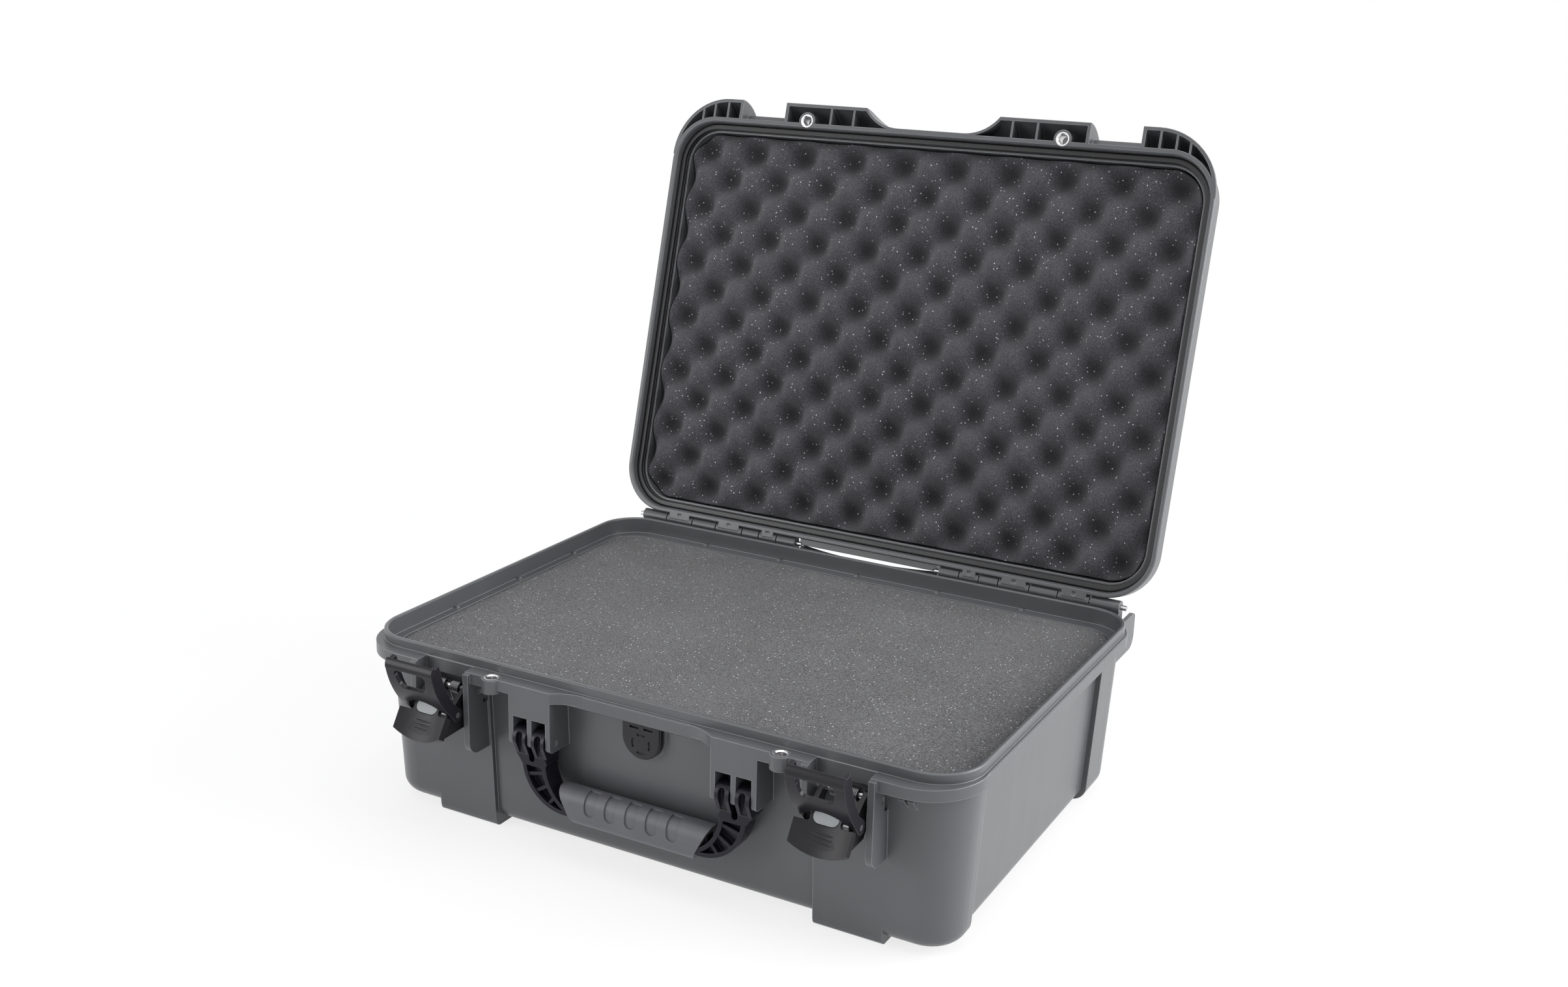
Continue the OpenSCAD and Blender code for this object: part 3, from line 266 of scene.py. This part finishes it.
foamGrain = {
    "poreScale": 1100, "fineScale": 1150, "cloudScale": 12, "depth": 0.0005,
    "glintScale": 300, "glintTone": (0.6, 0.6, 0.62), "pitTone": (0.006, 0.006, 0.007),
    "roughness": 0.95, "sheen": 0.15, "sheenRoughness": 0.5,
}


def openCellFoam(name, tone, pale, pitShade=0):
    look = foamGrain
    f = Finish(name)
    pores = f.cells(look["poreScale"])
    fine = f.noise(look["fineScale"], 2, 0.75)
    cloudy = f.noise(look["cloudScale"], 4, 0.65)
    dots = 1 - f.cells(look["glintScale"]).between(0.1, 0.18)
    chance = f.add("ShaderNodeSeparateColor", {}, f.cells(look["glintScale"], out="Color"))
    glints = dots * chance.between(0.55, 0.57)  # a painted glint in some of the cells
    colour = f.mix(cloudy.between(0.25, 0.8) * 0.2 + fine.between(0.42, 0.6) * 0.8, tone, pale)
    if pitShade:  # the pits hold less light than the bumps
        pit = f.add("ShaderNodeAttribute", {"attribute_name": "pit"}, out="Fac")
        colour = f.mix(pit.between(0.1, 0.95) * pitShade, colour, look["pitTone"])
    # painted highlight: some cells are painted pale as tiny glints of light
    colour = f.mix(glints, colour, look["glintTone"])
    return f.surface(Base_Color=colour, Roughness=look["roughness"],
                     Normal=f.bump(pores + fine * 0.6, look["depth"], 0.7),
                     Sheen_Weight=look["sheen"], Sheen_Roughness=look["sheenRoughness"])


rubberGrain = {"cloudScale": 40, "grainScale": 2600, "grainDepth": 0.0001, "edgeRound": 0.0006}


def softRubber(name, tone, pale, roughness):
    look = rubberGrain
    f = Finish(name)
    cloudy = f.noise(look["cloudScale"], 3, 0.6)
    grain = f.noise(look["grainScale"], 2, 0.5)
    colour = f.mix(cloudy.between(0.3, 0.8) * 0.6, tone, pale)
    normal = f.bump(grain, look["grainDepth"], 0.3, f.softEdge(look["edgeRound"]))
    return f.surface(Base_Color=colour, Roughness=roughness + (cloudy - 0.5) * 0.1, Normal=normal)


metalGrain = {"drawnScale": 700, "drawnStretch": (0.05, 1, 1), "depth": 0.00003}


def barMetal(name, tone, pale, roughness):
    look = metalGrain
    f = Finish(name)
    drawn = f.noise(look["drawnScale"], 3, 0.6, where=f.stretch(*look["drawnStretch"]))
    colour = f.mix(drawn * 0.5, tone, pale)
    return f.surface(Base_Color=colour, Metallic=1.0, Roughness=roughness + (drawn - 0.5) * 0.15,
                     Normal=f.bump(drawn, look["depth"], 0.2))


# Each finish by the slot it dresses: name, tone, pale tone, painted edge highlight, roughness.
finishes = {
    "shell": mouldedShell(shellLook),
    "latch": darkMoulding("clawMoulding", (0.011, 0.01, 0.013), (0.018, 0.017, 0.021),
                          (0.11, 0.107, 0.118), 0.3),
    "lever": darkMoulding("leverMoulding", (0.015, 0.014, 0.016), (0.026, 0.0245, 0.028),
                          (0.11, 0.107, 0.112), 0.34),
    "frame": darkMoulding("handleMoulding", (0.008, 0.0075, 0.012), (0.013, 0.012, 0.018),
                          (0.085, 0.083, 0.095), 0.28),
    "valve": darkMoulding("valveMoulding", (0.02, 0.02, 0.023), (0.03, 0.03, 0.034),
                          (0.07, 0.07, 0.075), 0.42),
    "button": darkMoulding("buttonMoulding", (0.26, 0.272, 0.276), (0.3, 0.312, 0.316),
                           (0.38, 0.39, 0.4), 0.42),
    "grip": softRubber("gripRubber", (0.083, 0.084, 0.095), (0.11, 0.111, 0.123), 0.5),
    "seal": softRubber("sealRubber", (0.005, 0.005, 0.0065), (0.01, 0.01, 0.012), 0.4),
    "membrane": softRubber("membraneSheet", (0.7, 0.7, 0.68), (0.8, 0.8, 0.78), 0.7),
    "steel": barMetal("drawnSteel", (0.4, 0.4, 0.42), (0.85, 0.85, 0.86), 0.34),
    "bright_steel": barMetal("polishedBush", (0.75, 0.74, 0.75), (0.85, 0.85, 0.86), 0.24),
    "spring": barMetal("springWire", (0.13, 0.13, 0.14), (0.3, 0.3, 0.31), 0.4),
    "base_foam": openCellFoam("bedFoam", (0.012, 0.012, 0.013), (0.142, 0.142, 0.147)),
    "lid_foam": openCellFoam("eggCrateFoam", (0.026, 0.026, 0.031), (0.09, 0.089, 0.1),
                             pitShade=0.6),
}
print("finishes made")


def dressFrame():
    for part in frame["record"]["subparts"]:
        isLever = part["node"].startswith("latch_lever")  # a little paler than the claw
        kind = "lever" if isLever else part["material_slot"]
        for slot in nodes[part["node"]].material_slots:
            slot.material = finishes[kind]
    print("frame dressed")


def addPiece(name, mesh, body, finish, *stoodFor, slot=None):
    mesh.name = name
    piece = bpy.data.objects.new(name, mesh)
    scene.collection.objects.link(piece)
    if not mesh.materials:
        mesh.materials.append(finishes[finish])
    mesh.polygons.foreach_set("use_smooth", [True] * len(mesh.polygons))
    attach(piece, body)
    if stoodFor:
        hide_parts(*stoodFor)
    return piece


def roundedGrid(halfX, halfY, radius, countX, countY):
    # A square grid drawn in at its corners; returns X and Y, one row for each line of points.
    u, v = np.meshgrid(np.linspace(-1, 1, countX + 1), np.linspace(-1, 1, countY + 1))
    x, y = u * halfX, v * halfY
    dx = np.maximum(0, np.abs(x) - halfX + radius)
    dy = np.maximum(0, np.abs(y) - halfY + radius)
    inCorner = (dx > 0) & (dy > 0)
    k = np.where(inCorner, np.maximum(dx, dy) / np.maximum(np.hypot(dx, dy), 1e-9), 1)
    x = np.sign(x) * (np.abs(x) - dx + dx * k)
    y = np.sign(y) * (np.abs(y) - dy + dy * k)
    return x, y


def blockMesh(name, levels):
    # levels is a list of (x, y, z) grids of one size. The first is the face, and of the others
    # only the outline is used, down the side to the back.
    rows, columns = levels[0][0].shape
    onFace = rows * columns
    index = np.arange(onFace).reshape(rows, columns)
    ring = np.concatenate([index[0, :], index[1:, -1], index[-1, -2::-1], index[-2:0:-1, 0]])
    points = [np.stack([g.ravel() for g in levels[0]], 1)]
    squares = [index[:-1, :-1], index[:-1, 1:], index[1:, 1:], index[1:, :-1]]
    faces = np.stack(squares, -1).reshape(-1, 4).tolist()
    above, start, count = ring, onFace, len(ring)
    for level in levels[1:]:
        points.append(np.stack([g.ravel()[ring] for g in level], 1))
        below = np.arange(start, start + count)
        faces += np.stack([above, below, np.roll(below, -1), np.roll(above, -1)], 1).tolist()
        above, start = below, start + count
    points.append(points[-1].mean(0, keepdims=True))  # the back is a fan round its middle
    faces += np.stack([above, np.full(count, start), np.roll(above, -1)], 1).tolist()
    mesh = bpy.data.meshes.new(name)
    mesh.from_pydata(np.concatenate(points).tolist(), [], faces)
    mark = mesh.attributes.new("face", "FLOAT", "POINT")  # 1 on the face, 0 on side and back
    mark.data.foreach_set("value", [1.0] * onFace + [0.0] * (len(mesh.vertices) - onFace))
    mesh.update()
    return mesh


bedFoam = {
    "layers": (  # piece, the node it stands for, how far its edges are broken
        ("bedFoamTop", "base_foam_upper", 0.0012),
        ("bedFoamMiddle", "base_foam_lower", 0.0012),
        ("bedFoamPad", "base_foam_pad", 0.006),
    ),
    "radius": 0.0235, "countX": 120, "countY": 90,
    "crown": 0.0004, "waves": 8, "waveTurns": (4, 22), "seed": 7, "fill": 0.95,
}


def makeBedFoam():
    b = bedFoam
    rng = np.random.default_rng(b["seed"])
    for name, node, edge in b["layers"]:
        low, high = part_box(node)
        x, y = roundedGrid(high.x, high.y, b["radius"], b["countX"], b["countY"])
        waves = sum(
            rng.uniform(-1, 1) * np.cos(rng.uniform(*b["waveTurns"]) * x
                                        + rng.uniform(*b["waveTurns"]) * y + rng.uniform(0, 6))
            for _ in range(b["waves"])) / b["waves"]
        flat = x * 0
        faceInset = 1 - edge * 0.3 / high.x
        levels = [
            (x * faceInset, y * faceInset, high.z - b["crown"] + waves * b["crown"]),
            (x, y, flat + high.z - edge),
            (x, y, flat + low.z + edge),
            (x * (1 - edge / high.x), y * (1 - edge / high.y), flat + low.z),
        ]
        piece = addPiece(name, blockMesh(name, levels), "base", "base_foam", node)
    print("bed foam made")


eggCrate = {
    "sizes": {
        "Pitch": 0.0466, "Row stretch": 1.04, "Bump height": 0.009, "Fullness": 1.3,
        "Unevenness": 0.0012, "Unevenness scale": 38.0, "Seed": 5,
    },
    # heights with the lid closed: middle of the bumps, end of the straight side, back
    "middle": 0.1446, "shoulder": 0.16025, "straight": 0.1639, "back": 0.1745,
    "halfX": 0.2256, "halfY": 0.1591, "radius": 0.0262, "backInset": 0.0106,
    "countX": 280, "countY": 200, "fill": 0.9,
}


def makeLidFoam():
    c = eggCrate
    g = Maker("eggCrateBumps", c["sizes"])
    x, y = g.spot("X", "Y")
    turn = g.size("Pitch") ** -1 * (2 * math.pi)
    wave = (x * turn).maths("COSINE") * (y * turn / g.size("Row stretch")).maths("COSINE")
    bump = 1 - ((1 - wave) * 0.5) ** g.size("Fullness") * 2  # 1 on a bump, -1 in a pit
    drift = g.add("ShaderNodeTexNoise", {"noise_dimensions": "4D"}, W=g.size("Seed"),
                  Scale=g.size("Unevenness scale"), Detail=2)
    face = g.add("GeometryNodeInputNamedAttribute", {"data_type": "FLOAT"}, "face")
    uneven = (drift - 0.5) * g.size("Unevenness")
    rise = face * (bump * g.size("Bump height") + uneven) * -1
    moved = g.add("GeometryNodeSetPosition", {}, g.shape, Offset=g.vector(0, 0, rise))
    marked = g.add("GeometryNodeStoreNamedAttribute", {"data_type": "FLOAT"}, moved, Name="pit",
                   Value=0.5 - bump * 0.5)
    g.close(marked, "lid_foam")
    x, y = roundedGrid(c["halfX"], c["halfY"], c["radius"], c["countX"], c["countY"])
    flat = x * 0
    backX, backY = (x * (1 - c["backInset"] / c["halfX"]), y * (1 - c["backInset"] / c["halfY"]))
    mesh = g.run(blockMesh("lidFoam", [
        (x, y, flat + c["middle"]), (x, y, flat + c["shoulder"]), (x, y, flat + c["straight"]),
        (backX, backY, flat + c["back"])]))
    centre = Vector((0, lidHinge["y"], lidHinge["z"]))
    opened = Matrix.Rotation(math.radians(-lidHinge["openAngle"]), 4, "X")
    mesh.transform(Matrix.Translation(centre) @ opened @ Matrix.Translation(-centre))
    mesh.flip_normals()
    addPiece("lidFoamSheet", mesh, "lid", "lid_foam", "lid_foam")
    print("lid foam made")


def addLatchPair(name, mesh, turn, place, bodies, finish, slot):
    # One copy for each latch, right and then left, riding on its own body.
    for side, x, body in zip(("Right", "Left"), (latch["x"], -latch["x"]), bodies):
        placed = mesh.copy()
        placed.transform(Matrix.Translation((x, *place)) @ turn)
        addPiece(name + side, placed, body, finish, slot=slot)


tabArcs = {
    "sizes": {
        "Rings": 5, "First radius": 0.0142, "Ring pitch": 0.0013, "Rib radius": 0.00022,
        "Rib facets": 8, "Arc steps": 28, "Dish radius": 0.05,
    },
    "startAngle": 238, "sweepAngle": 64,  # degrees round the button
}


def makeTabArcs():
    g = Maker("tabArcs", tabArcs["sizes"])
    steps = g.add("GeometryNodeMeshLine", {}, g.size("Rings"))
    arc = g.add("GeometryNodeCurveArc", {}, g.size("Arc steps"), Radius=1,
                Start_Angle=math.radians(tabArcs["startAngle"]),
                Sweep_Angle=math.radians(tabArcs["sweepAngle"]))
    reach = g.size("First radius") + g.add("GeometryNodeInputIndex") * g.size("Ring pitch")
    centred = g.add("GeometryNodeSetPosition", {}, steps, Position=(0, 0, 0))
    rings = g.add("GeometryNodeInstanceOnPoints", {}, centred, Instance=arc, Scale=reach)
    rings = g.add("GeometryNodeRealizeInstances", {}, rings)
    x, y = g.spot("X", "Y")
    dish = g.size("Dish radius")
    depth = (dish * dish - x * x) ** 0.5 - dish  # the tab is a little hollow
    laid = g.add("GeometryNodeSetPosition", {}, rings, Position=g.vector(x, depth, y))
    profile = g.add("GeometryNodeCurvePrimitiveCircle", {}, g.size("Rib facets"),
                    Radius=g.size("Rib radius"))
    g.close(g.add("GeometryNodeCurveToMesh", {}, laid, profile, Fill_Caps=True), "lever")
    mesh = g.run(bpy.data.meshes.new("tabArcs"))
    tilt = Matrix.Rotation(math.radians(latch["buttonTilt"]), 4, "X")
    addLatchPair("tabArcs", mesh, tilt, (latch["buttonY"], latch["buttonZ"]),
                 ("lever_right", "lever_left"), "lever", "latch")
    print("tab arcs made")


latchSpring = {
    "sizes": {"Wire radius": 0.0006, "Wire facets": 10},
    "turns": 5, "stepsPerTurn": 20, "coil": 0.0041, "pitch": 0.00128, "inner": 0.003,
    "bridge": 0.009, "bridgeAngle": 200, "bridgeSteps": (1.0, 0.95, 0.5), "bridgeTuck": 0.7,
    "leg": 0.007, "legAngle": 10, "legSteps": (0.5, 1.0),
}


def makeLatchSprings():
    # Two coils on the pivot pin, joined by a bridge in the middle, each with a free leg.
    s = latchSpring
    steps = s["stepsPerTurn"] * s["turns"]
    start = math.radians(s["bridgeAngle"])
    end = math.radians(s["legAngle"]) - 2 * math.pi * s["turns"]
    coil = []
    for i in range(steps + 1):
        a = start + (end - start) * i / steps
        coil.append(Vector((s["inner"] + s["pitch"] * s["turns"] * i / steps,
                            s["coil"] * math.cos(a), s["coil"] * math.sin(a))))
    into, away = (Vector((0, math.sin(a), -math.cos(a))) for a in (start, end))
    bridge = [coil[0] - into * s["bridge"] * k for k in s["bridgeSteps"]]
    bridge[0].x = s["inner"] * s["bridgeTuck"]
    leg = [coil[-1] + away * s["leg"] * k for k in s["legSteps"]]
    side = [tuple(v) for v in bridge + coil + leg]
    points = [(-x, y, z) for x, y, z in reversed(side)] + side
    path = bpy.data.meshes.new("springPath")
    path.from_pydata(points, [(i, i + 1) for i in range(len(points) - 1)], [])
    g = Maker("springWire", s["sizes"])
    line = g.add("GeometryNodeMeshToCurve", {}, g.shape)
    profile = g.add("GeometryNodeCurvePrimitiveCircle", {}, g.size("Wire facets"),
                    Radius=g.size("Wire radius"))
    g.close(g.add("GeometryNodeCurveToMesh", {}, line, profile, Fill_Caps=True), "spring")
    addLatchPair("latchSpring", g.run(path), Matrix.Identity(4),
                 (latch["pivotY"], latch["pivotZ"]), ("base", "base"), "spring", "steel")
    print("latch springs made")


studio = {
    "ambient": (0.97, 0.98, 1), "ambientStrength": 0.5, "white": (1, 1, 1),
    "floorHalf": 6.0, "floorTone": (0.93, 0.93, 0.94),
    "glowNear": 0.78, "glowFar": 1.0, "glowFrom": 0.35, "glowTo": 1.1,  # metres from the middle
    "lamps": (  # name, place, target, size, watts
        ("topSoftBox", (0.2, -0.3, 1.9), (0, 0, 0.1), 1.6, 17),
        ("rightSoftBox", (1.8, 0.6, 0.8), (0.1, 0, 0.15), 1.5, 56),
        ("leftFill", (-1.1, -1.3, 0.5), (-0.15, -0.15, 0.08), 1.0, 12),
    ),
}


def raysSeen(graph, *kinds):  # 1 for rays of those kinds, 0 for the light on the object
    seen = 0
    for kind in kinds:
        ray = graph.add("ShaderNodeLightPath", {}, out=f"Is {kind} Ray")
        seen = ray.maths("MAXIMUM", seen)
    return seen


def makeStudio():
    world = bpy.data.worlds.new("studioWorld")
    scene.world = world
    world.use_nodes = True
    w = Graph()
    w.tree = world.node_tree
    w.tree.nodes.clear()
    ambient = w.add("ShaderNodeBackground", {}, studio["ambient"], studio["ambientStrength"])
    white = w.add("ShaderNodeBackground", {}, studio["white"], 1.0)
    seen = raysSeen(w, "Camera", "Glossy", "Transmission")
    w.add("ShaderNodeOutputWorld", {}, w.add("ShaderNodeMixShader", {}, seen, ambient, white))

    f = Finish("paleFloor")
    middle = f.add("ShaderNodeVectorMath", {"operation": "LENGTH"}, f.place, out="Value")
    far = middle.between(studio["glowFrom"], studio["glowTo"])
    glowShare = far * (studio["glowFar"] - studio["glowNear"]) + studio["glowNear"]
    matt = f.add("ShaderNodeBsdfDiffuse", {}, studio["floorTone"])
    glow = f.add("ShaderNodeEmission", {}, studio["white"], 1.0)
    share = glowShare * raysSeen(f, "Camera", "Glossy")
    f.add("ShaderNodeOutputMaterial", {}, f.add("ShaderNodeMixShader", {}, share, matt, glow))
    half = studio["floorHalf"]
    corners = [(-half, -half, 0), (half, -half, 0), (half, half, 0), (-half, half, 0)]
    mesh = bpy.data.meshes.new("paleFloor")
    mesh.from_pydata(corners, [], [(0, 1, 2, 3)])
    mesh.materials.append(f.material)
    floor = bpy.data.objects.new("paleFloor", mesh)
    scene.collection.objects.link(floor)

    for name, place, target, size, power in studio["lamps"]:
        data = bpy.data.lights.new(name, "AREA")
        data.size, data.energy = size, power
        lamp = bpy.data.objects.new(name, data)
        lamp.location = place
        lamp.rotation_mode = "QUATERNION"
        lamp.rotation_quaternion = (Vector(target) - Vector(place)).to_track_quat("-Z", "Y")
        scene.collection.objects.link(lamp)
    scene.view_settings.view_transform = "Standard"
    print("studio made")


makeCamera(cameraSetup)
makeStudio()
dressFrame()
makeBedFoam()
makeLidFoam()
makeTabArcs()
makeLatchSprings()
